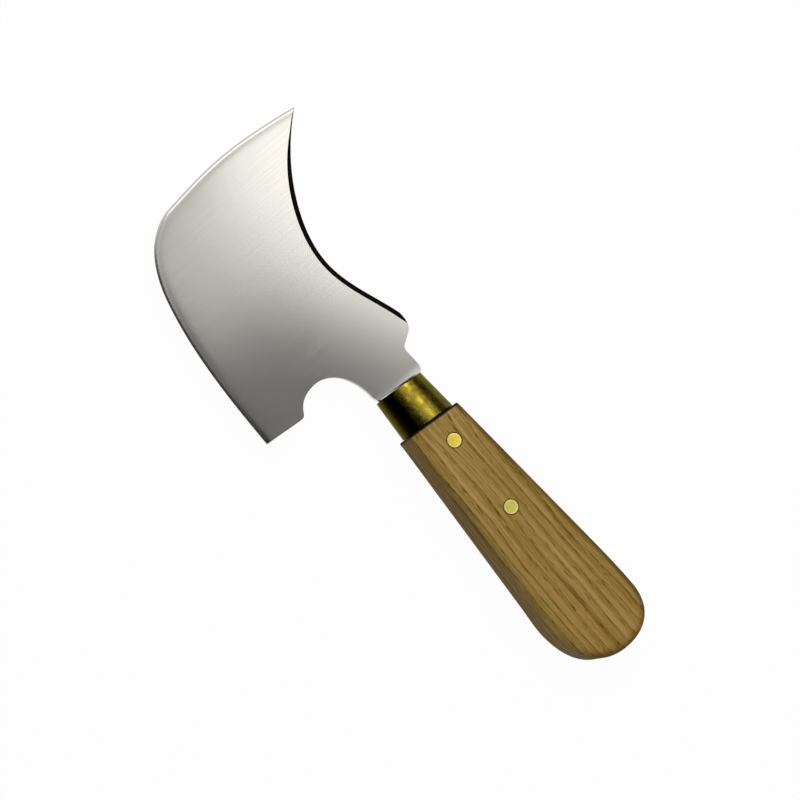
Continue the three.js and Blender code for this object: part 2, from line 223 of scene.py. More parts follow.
# Edges sharper than this many degrees show as creases
BLADE_CREASE = 4
CREASE = 30

# Margins: past the end of a cut or line, past the taper, and inside the rounding of the wood's face
OVERCUT = 2 * MM
LINE_RUN_ON = 5 * MM
TAPER_MARGIN = 0.5 * MM
FACE_MARGIN = 0.6 * MM

# Points this near are one point, and points this near the joint lie on it
ONE_POINT = 0.0001 * MM
ON_JOINT = 0.001 * MM

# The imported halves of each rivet
RIVETS = {
    "front": ("front_rivet_socket", "front_rivet_pin"),
    "rear": ("rear_rivet_socket", "rear_rivet_pin"),
}


def to_linear(code):
    """A hex sRGB colour as linear red, green and blue, with full cover."""
    shares = [int(code[i:i + 2], 16) / 255 for i in (0, 2, 4)]
    return (*[s / 12.92 if s <= 0.04045 else ((s + 0.055) / 1.055) ** 2.4 for s in shares], 1)


def length(name, description, millimetres):
    """A length property with its default in millimetres."""
    return FloatProperty(
        name=name, description=description, default=millimetres * MM, unit="LENGTH", precision=5
    )


def angle(name, description, degrees):
    """An angle property with its default in degrees."""
    return FloatProperty(name=name, description=description, default=math.radians(degrees), unit="ROTATION")


def colour(name, description, code):
    """A colour property with its default as a hex sRGB value."""
    return FloatVectorProperty(
        name=name, description=description, default=to_linear(code), subtype="COLOR", size=4, min=0, max=1
    )


def share(name, description, default):
    """A property between nought and one."""
    return FloatProperty(name=name, description=description, default=default, min=0, max=1, subtype="FACTOR")


class KnifeSizes(bpy.types.PropertyGroup):
    """Sizes of the ground, turned and rounded surfaces"""

    edge_land: length("Edge land", "Steel left at the cutting edge", 0.1)
    edge_slope: angle("Edge slope", "Slope of the fine bevel at the cutting edge", 47)
    roll_width: length("Rolled edge", "How far in the rolled edge reaches", 0.8)
    roll_depth: length("Rolled edge depth", "What the rolled edge takes off each face", 0.35)
    taper_width: length("Taper", "From the cutting edge to the full thickness", 24)
    taper_depth: length("Taper depth", "What the taper takes off each face", 0.3)
    back_land: length("Back land", "Steel left along the hollow back", 0.4)
    back_slope: angle("Back slope", "Slope of the bevel along the hollow back", 28)
    back_run_out: length("Back run-out", "From the tip to the full width of that bevel", 36)
    tip_land: length("Tip land", "Steel left along the back near the tip", 1.5)
    eased_edge: length("Eased edge", "Chamfer on the blade's other edges", 0.15)
    neck_swell: length("Neck swell", "How far ahead of the ferrule the neck begins to thicken", 3)
    neck_swell_slope: angle("Neck swell slope", "Slope that it reaches at the ferrule", 2.4)
    ferrule_front: length("Ferrule front", "Outside diameter at the blade", 18.1)
    ferrule_wall: length("Ferrule wall", "Thickness of the brass", 1)
    ferrule_round: length("Ferrule rim", "Radius of the ferrule's rims", 0.4)
    grip_round: length("Grip round", "Radius along the handle's long edges", 4)
    shoulder_round: length("Shoulder round", "Radius of the wood's edge at the ferrule", 0.6)
    shoulder_gap: length("Shoulder gap", "Open joint between the wood and the ferrule", 0.05)
    seam_ease: length("Seam ease", "Chamfer where the two scales meet", 0.12)
    head_round: length("Head round", "Radius of the rivet heads' rims", 0.12)
    head_crown: length("Head crown", "How far a rivet head is domed", 0.05)


class KnifeLooks(bpy.types.PropertyGroup):
    """Colours and finishes"""

    steel: colour("Steel", "Ground carbon steel", "c9c6c0")
    steel_dull: colour("Dull steel", "Steel between the grinding lines", "c0bdb7")
    # Painted dark reflection, laid in the bevel of the hollow back
    steel_dark_reflection: colour("Black scale", "Scale left by the fire in the bevel of the hollow back", "161412")
    steel_roughness: share("Steel roughness", "Satin finish of the steel", 0.17)
    line_width: length("Grinding line", "Width of a grinding line", 0.45)
    line_length: length("Grinding line length", "Length of a grinding line", 30)
    brass: colour("Brass", "Clean brass", "d9c244")
    brass_dull: colour("Dull brass", "Brass with a thin brown skin", "b99f34")
    # Painted reflections on the ferrule's sides, in this and the next two colours
    brass_side_reflection: colour("Brass skin", "Brown skin on the ferrule's sides, where polishing misses it", "5e5a24")
    brass_heel_reflection: colour("Dark brass skin", "The same on the heel's side, where it is thicker", "0c0a03")
    brass_floor_reflection: colour("Rubbed brass skin", "The same where fingers rub it, low on the heel's side", "4c4618")
    brass_glance: colour("Brass at a glance", "Brass seen along its surface", "dcd6b8")
    brass_roughness: share("Brass roughness", "Polish of the ferrule", 0.32)
    mottle: length("Mottle", "Size of the ferrule's dull patches", 2.4)
    rivet: colour("Rivet brass", "Brass ground flush with the wood", "ead750")
    rivet_worn: colour("Worn rivet brass", "The rear rivet's brass, duller under the palm", "d2c262")
    # Painted highlight at the rim of each rivet head
    rivet_highlight: colour("Rivet rim", "Brass polished at the head's rim", "f4e08c")
    rivet_roughness: share("Rivet roughness", "Finish of the rivet heads", 0.3)
    oak_pale: colour("Pale oak", "Wood between the rings", "ac9059")
    oak: colour("Oak", "The wood's own brown", "95783c")
    oak_dark: colour("Dark oak", "Open wood at the start of a ring", "705621")
    oak_pore: colour("Oak pores", "Bottom of the open pores", "523510")
    # Painted shade along the handle's back edge
    oak_painted_shade: colour("Oak edge", "What the hand leaves of the wood's colour along the back's edge", "b8b2a1")
    # Painted shadow in the corner at the ferrule
    oak_joint_shadow: colour("Oak joint", "Polish and dirt in the corner at the ferrule", "120c05")
    oak_tint: colour("Oak tint", "Warmer patches in the wood", "97702f")
    oak_roughness: share("Oak roughness", "Finish of the oiled wood", 0.6)
    oak_gloss: share("Oak gloss", "How strongly the oiled wood reflects", 0.03)
    ring_spacing: length("Ring spacing", "From one growth ring to the next", 2.7)
    grain_tilt: angle("Grain tilt", "Grain off the handle's axis", 0.4)


class KnifeStage(bpy.types.PropertyGroup):
    """Floor, light and camera"""

    floor: colour("Floor", "The plain floor", "d0d0d0")
    floor_even: share("Even floor", "How far the floor shows as plain white", 0.975)
    room: colour("Room", "The dark room round the stage", "0a0a0a")
    panel_height: length("Panel height", "Height of the soft panels that the metal mirrors", 730)
    fill: FloatProperty(name="Fill", description="Brightness of the broad fill light", default=2.15108)
    tilt: angle("Camera tilt", "Camera off the upright, towards the heel", 14)
    spin: angle("Camera spin", "Turn of the picture about the line of sight", -130.47)
    reach: length("Camera distance", "Camera to the point that it looks at", 740.74)


def heading(degrees):
    """The unit vector of a heading."""
    return np.array((math.cos(math.radians(degrees)), math.sin(math.radians(degrees))))


def curve(landmarks, pull=RUN_PULL):
    """Points of the smooth curves through landmarks, each left and reached along its heading, in metres."""
    points = [np.array(landmarks[0][:2], float)]
    for (x0, y0, h0), (x1, y1, h1) in zip(landmarks, landmarks[1:]):
        start = np.array((x0, y0), float)
        end = np.array((x1, y1), float)
        reach = pull * np.linalg.norm(end - start)
        leave = start + reach * heading(h0)
        arrive = end - reach * heading(h1)
        for t in np.linspace(0, 1, CURVE_STEPS + 1)[1:]:
            s = 1 - t
            points.append(s**3 * start + 3 * s * s * t * leave + 3 * s * t * t * arrive + t**3 * end)
    return np.array(points) * MM


def circle(x, y, radius, sides):
    """Points of a circle in the plane of the blade."""
    turns = np.linspace(0, 2 * math.pi, sides, endpoint=False)
    return np.column_stack((x + radius * np.cos(turns), y + radius * np.sin(turns)))


def quarter(along, across, radius, start, end):
    """Points of an arc about a centre, between two directions in degrees."""
    turns = np.radians(np.linspace(start, end, ROUND_STEPS + 1))
    return [(along + radius * math.cos(a), across + radius * math.sin(a)) for a in turns]


def right_of(line):
    """Unit vectors to the right of a walk along a line."""
    step = np.gradient(line, axis=0)
    step /= np.linalg.norm(step, axis=1)[:, None]
    return np.column_stack((step[:, 1], -step[:, 0]))


def run_on(line, reach):
    """A line carried on straight past both ends."""
    lead = line[0] - line[1]
    tail = line[-1] - line[-2]
    first = line[0] + lead * reach / np.linalg.norm(lead)
    last = line[-1] + tail * reach / np.linalg.norm(tail)
    return np.vstack((first, line, last))


def distance(points, line):
    """Least distance of each point from a line."""
    start = line[:-1]
    step = line[1:] - start
    offset = points[:, None, :] - start
    along = np.clip((offset * step).sum(-1) / (step * step).sum(-1), 0, 1)
    return np.sqrt(((offset - along[..., None] * step) ** 2).sum(-1).min(1))


def mesh_piece(name, points, faces):
    """A new object of these points and faces, with its faces turned outwards."""
    mesh = bpy.data.meshes.new(name)
    mesh.from_pydata([tuple(p) for p in points], [], [[int(i) for i in f] for f in faces])
    work = bmesh.new()
    work.from_mesh(mesh)
    bmesh.ops.recalc_face_normals(work, faces=work.faces)
    work.to_mesh(mesh)
    work.free()
    piece = bpy.data.objects.new(name, mesh)
    bpy.context.scene.collection.objects.link(piece)
    return piece


def dress(piece, material, node, crease):
    """Gives a finished piece its material and smooth shading, and puts it in its node's place."""
    piece.data.materials.clear()
    piece.data.materials.append(material)
    piece.data.shade_smooth()
    piece.data.set_sharp_from_angle(angle=math.radians(crease))
    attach(piece, "root")
    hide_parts(node)


def bands(rows, closed=True):
    """Faces between neighbouring rows of point numbers, which close on themselves or not."""
    faces = []
    for low, high in zip(rows, rows[1:]):
        for i in range(len(low) if closed else len(low) - 1):
            j = (i + 1) % len(low)
            faces.append(list(dict.fromkeys((low[i], low[j], high[j], high[i]))))
    return faces


def turned(profile, sides, closed=False):
    """Points and faces of a profile of (along, radius) pairs turned about the first axis."""
    points = []
    rows = []
    for along, radius in profile:
        row = range(len(points), len(points) + sides) if radius else [len(points)] * sides
        ring = circle(0, 0, radius, sides) if radius else np.zeros((1, 2))
        points.extend((along, y, z) for y, z in ring)
        rows.append(list(row))
    if closed:
        rows.append(rows[0])
    return np.array(points), bands(rows)


def turned_upright(profile, sides, x, y):
    """The same about an upright axis, from (radius, height) pairs counted from the middle of the steel."""
    points, faces = turned([(height, radius) for radius, height in profile], sides)
    return points[:, [1, 2, 0]] + (x, y, MIDDLE_Z), faces


def rivet_place(node):
    """The axis of a rivet and the radius of its head."""
    low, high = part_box(node)
    return (low.x + high.x) / 2, (low.y + high.y) / 2, (high.x - low.x) / 2


def carve(piece, tool, operation):
    """Cuts, joins or trims a piece with a tool, which is used up."""
    modifier = piece.modifiers.new("carve", "BOOLEAN")
    modifier.object = tool
    modifier.operation = operation
    modifier.solver = "EXACT"
    solid = piece.evaluated_get(bpy.context.evaluated_depsgraph_get())
    carved = bpy.data.meshes.new_from_object(solid)
    piece.modifiers.clear()
    piece.data = carved
    bpy.data.objects.remove(tool)


def add_node(tree, kind, inputs=None, **settings):
    """Adds a node with its settings, and sets or links its inputs. A node among them stands for its first
    output in use."""
    node = tree.nodes.new(kind)
    for name, value in settings.items():
        setattr(node, name, value)
    for name, value in (inputs or {}).items():
        if isinstance(value, bpy.types.Node):
            value = next(output for output in value.outputs if output.enabled)
        if isinstance(value, bpy.types.NodeSocket):
            tree.links.new(value, node.inputs[name])
        else:
            node.inputs[name].default_value = value
    return node


def empty_material(name):
    """A new material and its node tree, without nodes."""
    material = bpy.data.materials.new(name)
    material.use_nodes = True
    material.node_tree.nodes.clear()
    return material, material.node_tree


def finished(material, inputs):
    """A material whose surface has these inputs."""
    shader = add_node(material.node_tree, "ShaderNodeBsdfPrincipled", inputs)
    add_node(material.node_tree, "ShaderNodeOutputMaterial", {"Surface": shader})
    return material


def ground_steel(looks):
    """Carbon steel, surface ground across the blade and left satin, with a soft sheen."""
    material, tree = empty_material("satin_ground_steel")
    place = add_node(tree, "ShaderNodeTexCoord").outputs["Object"]
    # A grinding line is about 0.05 mm wide on the steel. It is drawn coarser, so that it shows.
    scale = (1 / looks.line_width, 1 / looks.line_length, 1 / looks.line_width)
    along = add_node(tree, "ShaderNodeMapping", {"Vector": place, "Scale": scale})
    lines = add_node(tree, "ShaderNodeTexNoise", {"Vector": along, "Scale": 1, "Detail": 3})
    bright = add_node(
        tree, "ShaderNodeMix", {"Factor": lines, "A": looks.steel, "B": looks.steel_dull}, data_type="RGBA"
    )
    # Painted dark reflection: the bevel of the hollow back, facing up and backwards, is coloured near black.
    normal = add_node(tree, "ShaderNodeNewGeometry").outputs["Normal"]
    facing = add_node(tree, "ShaderNodeSeparateXYZ", {"Vector": normal}).outputs
    level = add_node(tree, "ShaderNodeMath", {0: facing["Z"]}, operation="ABSOLUTE")
    upward = add_node(tree, "ShaderNodeMapRange", {"Value": level, "From Min": 0.75, "From Max": 0.85})
    backward = add_node(
        tree,
        "ShaderNodeMapRange",
        {"Value": facing["Y"], "From Min": -0.15, "From Max": -0.3, "To Max": upward},
    )
    tone = add_node(
        tree, "ShaderNodeMix", {"Factor": backward, "A": bright, "B": looks.steel_dark_reflection}, data_type="RGBA"
    )
    rough = add_node(
        tree,
        "ShaderNodeMapRange",
        {
            "Value": lines,
            "From Min": 0.3,
            "From Max": 0.7,
            "To Min": looks.steel_roughness - 0.015,
            "To Max": looks.steel_roughness + 0.015,
        },
    )
    bump = add_node(tree, "ShaderNodeBump", {"Height": lines, "Strength": 0.02, "Distance": 0.01 * MM})
    return finished(material, {"Base Color": tone, "Metallic": 1, "Roughness": rough, "Normal": bump})


def spun_brass(looks):
    """Brass, spun over the wood and polished by hand: bright, with dull brown patches and a wavy gleam."""
    material, tree = empty_material("spun_brass")
    place = add_node(tree, "ShaderNodeTexCoord").outputs["Object"]
    patches = add_node(
        tree,
        "ShaderNodeTexNoise",
        {"Vector": place, "Scale": 1 / looks.mottle, "Detail": 3, "Roughness": 0.6},
    )
    skin = add_node(
        tree,
        "ShaderNodeMapRange",
        {"Value": patches, "From Min": 0.38, "From Max": 0.68},
        interpolation_type="SMOOTHSTEP",
    )
    bright = add_node(
        tree, "ShaderNodeMix", {"Factor": skin, "A": looks.brass, "B": looks.brass_dull}, data_type="RGBA"
    )
    # Painted reflections at the sides: olive on the back's side, near black on the heel's side, and olive
    # again low down there, where the brass mirrors the floor.
    normal = add_node(tree, "ShaderNodeNewGeometry").outputs["Normal"]
    facing = add_node(tree, "ShaderNodeSeparateXYZ", {"Vector": normal}).outputs
    level = add_node(tree, "ShaderNodeMath", {0: facing["Z"]}, operation="ABSOLUTE")
    side = add_node(
        tree,
        "ShaderNodeMapRange",
        {"Value": level, "From Min": 0.93, "From Max": 0.8},
        interpolation_type="SMOOTHSTEP",
    )
    heel_side = add_node(
        tree, "ShaderNodeMapRange", {"Value": facing["Y"], "From Min": -0.3, "From Max": 0.3}
    )
    low_down = add_node(tree, "ShaderNodeMapRange", {"Value": level, "From Min": 0.5, "From Max": 0.2})
    painted_heel_side = add_node(
        tree,
        "ShaderNodeMix",
        {"Factor": low_down, "A": looks.brass_heel_reflection, "B": looks.brass_floor_reflection},
        data_type="RGBA",
    )
    painted_sides = add_node(
        tree, "ShaderNodeMix", {"Factor": heel_side, "A": looks.brass_side_reflection, "B": painted_heel_side}, data_type="RGBA"
    )
    tone = add_node(tree, "ShaderNodeMix", {"Factor": side, "A": bright, "B": painted_sides}, data_type="RGBA")
    rough = add_node(
        tree,
        "ShaderNodeMapRange",
        {"Value": skin, "To Min": looks.brass_roughness - 0.06, "To Max": looks.brass_roughness + 0.08},
    )
    bump = add_node(tree, "ShaderNodeBump", {"Height": patches, "Strength": 0.5, "Distance": 0.07 * MM})
    glance = {"Metallic": 1, "Specular Tint": looks.brass_glance}
    return finished(material, {"Base Color": tone, "Roughness": rough, "Normal": bump, **glance})


def flush_brass(looks, face, x, y, radius):
    """Brass ground flush with the wood: a matt yellow face, paler at the rim with a painted highlight."""
    material, tree = empty_material("flush_ground_brass")
    place = add_node(tree, "ShaderNodeTexCoord").outputs["Object"]
    plan = add_node(
        tree, "ShaderNodeVectorMath", {0: place, 1: (1, 1, 0), 2: (-x, -y, 0)}, operation="MULTIPLY_ADD"
    )
    out = add_node(tree, "ShaderNodeVectorMath", {0: plan}, operation="LENGTH")
    rim = add_node(
        tree,
        "ShaderNodeMapRange",
        {"Value": out, "From Min": 0.6 * radius, "From Max": radius},
        interpolation_type="SMOOTHSTEP",
    )
    tone = add_node(
        tree, "ShaderNodeMix", {"Factor": rim, "A": face, "B": looks.rivet_highlight}, data_type="RGBA"
    )
    along = add_node(
        tree, "ShaderNodeMapping", {"Vector": place, "Scale": [1 / (size * MM) for size in SCRATCH]}
    )
    scratches = add_node(tree, "ShaderNodeTexNoise", {"Vector": along, "Scale": 1, "Detail": 2})
    rough = add_node(
        tree,
        "ShaderNodeMapRange",
        {"Value": scratches, "To Min": looks.rivet_roughness - 0.08, "To Max": looks.rivet_roughness + 0.08},
    )
    return finished(material, {"Base Color": tone, "Metallic": 1, "Roughness": rough})


def oiled_oak(looks):
    """Oak cut along the grain, sanded and oiled: brown rings, each opening with a line of dark pores."""
    material, tree = empty_material("oiled_oak")
    place = add_node(tree, "ShaderNodeTexCoord").outputs["Object"]
    tilted = add_node(
        tree, "ShaderNodeMapping", {"Vector": place, "Rotation": (RING_LEAN, 0, looks.grain_tilt)}
    )
    # The rings wander by about their own width over a hand's breadth of wood.
    slow = add_node(
        tree, "ShaderNodeMapping", {"Vector": tilted, "Scale": [1 / (span * MM) for span in WANDER_SPAN]}
    )
    drift = add_node(tree, "ShaderNodeTexNoise", {"Vector": slow, "Scale": 1, "Detail": 2}).outputs["Color"]
    sway = add_node(
        tree, "ShaderNodeVectorMath", {0: drift, 1: Vector(WANDER) * MM, 2: tilted}, operation="MULTIPLY_ADD"
    )
    rings = add_node(
        tree,
        "ShaderNodeTexWave",
        {"Vector": sway, "Scale": WAVE_PITCH / looks.ring_spacing},
        wave_type="BANDS",
        bands_direction="Y",
        wave_profile="SAW",
    ).outputs["Fac"]
    layers = {}
    for name, (run, width, detail) in GRAIN_LAYERS.items():
        scale = [1 / (size * MM) for size in (run, width, width)]
        stretched = add_node(tree, "ShaderNodeMapping", {"Vector": sway, "Scale": scale})
        layers[name] = add_node(
            tree, "ShaderNodeTexNoise", {"Vector": stretched, "Scale": 1, "Detail": detail}
        )
    light = add_node(tree, "ShaderNodeMath", {0: rings, 1: RING_WEIGHT}, operation="MULTIPLY")
    for name, weight in LAYER_WEIGHTS.items():
        light = add_node(
            tree, "ShaderNodeMath", {0: layers[name], 1: weight, 2: light}, operation="MULTIPLY_ADD"
        )
    tone = add_node(tree, "ShaderNodeValToRGB", {"Fac": light})
    stops = tone.color_ramp.elements
    stops[0].position = DARK_OAK
    stops[0].color = looks.oak_dark
    stops[1].position = PALE_OAK
    stops[1].color = looks.oak_pale
    stops.new(MIDDLE_OAK).color = looks.oak
    # Pores crowd where a ring begins and thin out across it.
    crowd = add_node(
        tree, "ShaderNodeMapRange", {"Value": rings, "From Max": 0.7, "To Min": 0.55, "To Max": 0.72}
    )
    depth = add_node(tree, "ShaderNodeMath", {0: layers["pore"], 1: crowd}, operation="SUBTRACT")
    normal = add_node(tree, "ShaderNodeNewGeometry").outputs["Normal"]
    facing = add_node(tree, "ShaderNodeSeparateXYZ", {"Vector": normal}).outputs
    across = add_node(tree, "ShaderNodeMath", {0: facing["X"]}, operation="ABSOLUTE")
    across_joint = (1, -JOINT_SLANT, 0)
    ahead = add_node(tree, "ShaderNodeVectorMath", {0: place, 1: across_joint}, operation="DOT_PRODUCT")
    joint_shadow = [SHOULDER_X - reach * MM for reach in (JOINT_SHADOW_START, JOINT_SHADOW_FULL)]
    # Over the wood's colour lie warm patches, pores, pale flecks, end grain, which drinks more oil, a painted
    # shade along the back's edge, and a painted shadow in the corner at the ferrule. Each has the values
    # where it begins and is full, its strength there, how it sets in, its colour and how that is laid on.
    masks = {}
    for name, value, start, full, strength, onset, shade, laid in (
        ("patch", layers["patch"], 0.5, 0.75, 0.35, "SMOOTHSTEP", looks.oak_tint, "MIX"),
        ("pore", depth, 0, 0.06, 0.8, "LINEAR", looks.oak_pore, "MIX"),
        ("fleck", layers["fleck"], 0.7, 0.76, 0.35, "LINEAR", looks.oak_pale, "MIX"),
        ("end", across, 0.25, 0.95, 0.5, "SMOOTHSTEP", looks.oak_pore, "MIX"),
        ("edge", facing["Y"], -0.25, -0.7, 0.9, "SMOOTHSTEP", looks.oak_painted_shade, "MULTIPLY"),
        ("joint_shadow", ahead, *joint_shadow, 0.97, "LINEAR", looks.oak_joint_shadow, "MIX"),
    ):
        masks[name] = add_node(
            tree,
            "ShaderNodeMapRange",
            {"Value": value, "From Min": start, "From Max": full, "To Max": strength},
            interpolation_type=onset,
        )
        tone = add_node(
            tree,
            "ShaderNodeMix",
            {"Factor": masks[name], "A": tone, "B": shade},
            data_type="RGBA",
            blend_type=laid,
        )
    rough = add_node(
        tree,
        "ShaderNodeMapRange",
        {"Value": layers["fibre"], "To Min": looks.oak_roughness - 0.1, "To Max": looks.oak_roughness + 0.1},
    )
    relief = add_node(tree, "ShaderNodeMath", {0: layers["fibre"], 1: masks["pore"]}, operation="SUBTRACT")
    bump = add_node(tree, "ShaderNodeBump", {"Height": relief, "Strength": 0.5, "Distance": 0.06 * MM})
    gloss = {"Specular IOR Level": looks.oak_gloss}
    return finished(material, {"Base Color": tone, "Roughness": rough, "Normal": bump, **gloss})


def slanted(points):
    """Points shifted along the handle's axis as the joint at the ferrule slants."""
    points = np.array(points, float)
    points[:, 0] += JOINT_SLANT * points[:, 1]
    return points


def tang_outline(clearance, root):
    """The tang's outline from its lower root to its upper one, in the neck's plan."""
    half = (TANG_WIDTH / 2 + clearance) * MM
    centre = TANG_END_X - NECK_X + TANG_WIDTH / 2 * MM
    turns = np.radians(np.linspace(270, 90, 2 * ROUND_STEPS + 1))
    bend = np.column_stack((centre + half * np.cos(turns), half * np.sin(turns)))
    return np.vstack((slanted([(root, -half)]), bend, slanted([(root, half)])))


def blade_stretches():
    """The blade's outline in the neck's plan: the cutting edge, the hollow back and the rest."""
    edge = curve([HEEL, BELLY, TURN, NOSE, FRONT, TIP])
    back = curve([TIP_BACK, SWEEP, HOLLOW, CORNER])
    rest = np.vstack((
        curve([CORNER, CORNER_END]),
        curve([STEP_END, NECK_BACK, NECK_BACK_ROUND, NECK_BACK_END]),
        tang_outline(0, 0),
        curve([NECK_NOTCH_END, NECK_NOTCH, NOTCH_LOW, NOTCH, NOTCH_HIGH, NOTCH_END]),
        curve([NOTCH_END, HEEL_BACK], ROUND_PULL)[1:],
        edge[:1],
    ))
    return edge, back, rest


def edge_height(sizes, depth):
    """Half the steel's thickness at depths in from the edge: a fine bevel, a rolled edge and a taper."""
    rise = np.clip(1 - depth / sizes.taper_width, 0, 1)
    roll = sizes.roll_depth * np.exp(-depth / sizes.roll_width)
    bevel = sizes.edge_land / 2 + depth * math.tan(sizes.edge_slope)
    return np.minimum(HALF_STEEL - sizes.taper_depth * rise**2 - roll, bevel)


def back_height(sizes, plan, depth):
    """Half the steel's thickness at depths in from the hollow back, whose bevel runs out towards the tip."""
    from_tip = np.linalg.norm(plan - np.array(TIP[:2]) * MM, axis=1)
    run_out = np.clip(1 - from_tip / sizes.back_run_out, 0, 1) ** 2
    land = sizes.back_land / 2 + run_out * (HALF_STEEL - sizes.back_land / 2)
    return np.minimum(land, sizes.tip_land / 2) + depth * math.tan(sizes.back_slope)


def neck_swell(sizes, plan):
    """What the neck's swelling adds to half the steel's thickness, ahead of the ferrule."""
    ahead = plan[:, 0] - JOINT_SLANT * plan[:, 1]
    crest = sizes.neck_swell * math.tan(sizes.neck_swell_slope) / 2
    rise = crest * np.clip(1 - ahead / sizes.neck_swell, 0, 1) ** 2
    return np.where(ahead < -ON_JOINT, 0, rise)


def greatest(limit, holds):
    """The greatest values up to a limit for which a test still holds, found by halving."""
    low = np.zeros_like(limit)
    high = limit
    for _ in range(HALVINGS):
        middle = (low + high) / 2
        held = holds(middle)
        low = np.where(held, middle, low)
        high = np.where(held, high, middle)
    return low


def back_crease(sizes, long_edge, back):
    """Where the bevel of the hollow back comes out on the face, found along each normal."""
    inward = right_of(back)

    def on_bevel(depth):
        plan = back + inward * depth[:, None]
        return back_height(sizes, plan, depth) < edge_height(sizes, distance(plan, long_edge))

    limit = np.full(len(back), HALF_STEEL / math.tan(sizes.back_slope))
    return back + inward * greatest(limit, on_bevel)[:, None]


def grind_depths(sizes):
    """Depths of the lines along the grinds: the top of the fine bevel, then wider and wider apart."""

    def on_bevel(depth):
        return edge_height(sizes, depth) >= sizes.edge_land / 2 + depth * math.tan(sizes.edge_slope)

    bevel_top = greatest(np.array(sizes.roll_width), on_bevel)
    return [*np.geomspace(bevel_top, sizes.taper_width, GRIND_LINES), sizes.taper_width + TAPER_MARGIN]


def plan_triangles(outline, holes, lines):
    """Triangles of an outline without its holes, with their sides along the given lines."""
    loops = [outline, *holes]
    points = np.vstack([*loops, *lines]) / MM
    edges = []
    faces = []
    start = 0
    for loop in loops:
        faces.append(list(range(start, start + len(loop))))
        start += len(loop)
    for line in lines:
        edges.extend((i, i + 1) for i in range(start, start + len(line) - 1))
        start += len(line)
    made = delaunay_2d_cdt([Vector(p) for p in points], edges, faces, 0, ONE_POINT / MM, True)
    kept = [face for face, loops_in in zip(made[2], made[5]) if list(loops_in) == [0]]
    used = sorted({i for face in kept for i in face})
    number = {old: new for new, old in enumerate(used)}
    plan = np.array([made[0][i] for i in used]) * MM
    return plan, [[number[i] for i in face] for face in kept]


def two_faced(plan, triangles, height):
    """Points and faces of a plate with the same heights on both faces, closed along its rims."""
    count = len(plan)
    upper = np.column_stack((plan, height))
    lower = np.column_stack((plan, -height))
    sides = {}
    for face in triangles:
        for a, b in zip(face, face[1:] + face[:1]):
            sides[(a, b)] = True
    rims = [(a, b) for a, b in sides if (b, a) not in sides]
    faces = [list(f) for f in triangles]
    faces += [[i + count for i in reversed(f)] for f in triangles]
    faces += [[b, a, a + count, b + count] for a, b in rims]
    return np.vstack((upper, lower)), faces


class KNIFE_OT_blade(bpy.types.Operator):
    """Grinds the blade with its bevels, neck and tang"""

    bl_idname = "knife.blade"
    bl_label = "Blade"

    def execute(self, context):
        sizes = context.scene.knife_sizes
        edge, back, rest = blade_stretches()
        outline = np.vstack((edge, back[1:], rest[1:-1]))
        holes = []
        for node, _ in RIVETS.values():
            x, y, _ = rivet_place(node)
            holes.append(circle(x - NECK_X, y, SHANK_BORE_RADIUS * MM, RIVET_SIDES))
        long_edge = run_on(edge, sizes.taper_width)
        long_back = run_on(back, sizes.taper_width)
        lines = [long_edge + right_of(long_edge) * d for d in grind_depths(sizes)]
        lines.append(run_on(back_crease(sizes, long_edge, back), LINE_RUN_ON))
        lines.append(rest + right_of(rest) * sizes.eased_edge)
        low = -2 * NECK_BACK_WIDTH * MM
        high = 2 * NECK_NOTCH_WIDTH * MM
        for ahead in np.linspace(0, sizes.neck_swell, SWELL_LINES):
            lines.append(slanted([(ahead, low), (ahead, high)]))
        plan, triangles = plan_triangles(outline[::-1], holes, lines)
        height = np.minimum(
            edge_height(sizes, distance(plan, long_edge)), back_height(sizes, plan, distance(plan, long_back))
        )
        height += neck_swell(sizes, plan)
        eased = np.clip(sizes.eased_edge - distance(plan, rest), 0, None)
        height -= eased * height / HALF_STEEL
        points, faces = two_faced(plan, triangles, height)
        blade = mesh_piece("ground_blade", points + (NECK_X, 0, MIDDLE_Z), faces)
        dress(blade, ground_steel(context.scene.knife_looks), "blade", BLADE_CREASE)
        return {"FINISHED"}


class KNIFE_OT_ferrule(bpy.types.Operator):
    """Turns the tapered brass ferrule"""

    bl_idname = "knife.ferrule"
    bl_label = "Ferrule"

    def execute(self, context):
        sizes = context.scene.knife_sizes
        front = sizes.ferrule_front / 2
        rear = FERRULE_REAR_RADIUS
        rim = sizes.ferrule_round
        profile = [
            (0, rear - sizes.ferrule_wall),
            *reversed(quarter(rim, rear - rim, rim, 90, 180)),
            *reversed(quarter(FERRULE_LENGTH - rim, front - rim, rim, 0, 90)),
            (FERRULE_LENGTH, front - sizes.ferrule_wall),
        ]
        points, faces = turned(profile, FERRULE_SIDES, closed=True)
        ferrule = mesh_piece("spun_ferrule", slanted(points) + (SHOULDER_X, 0, MIDDLE_Z), faces)
        dress(ferrule, spun_brass(context.scene.knife_looks), "ferrule", CREASE)
        return {"FINISHED"}


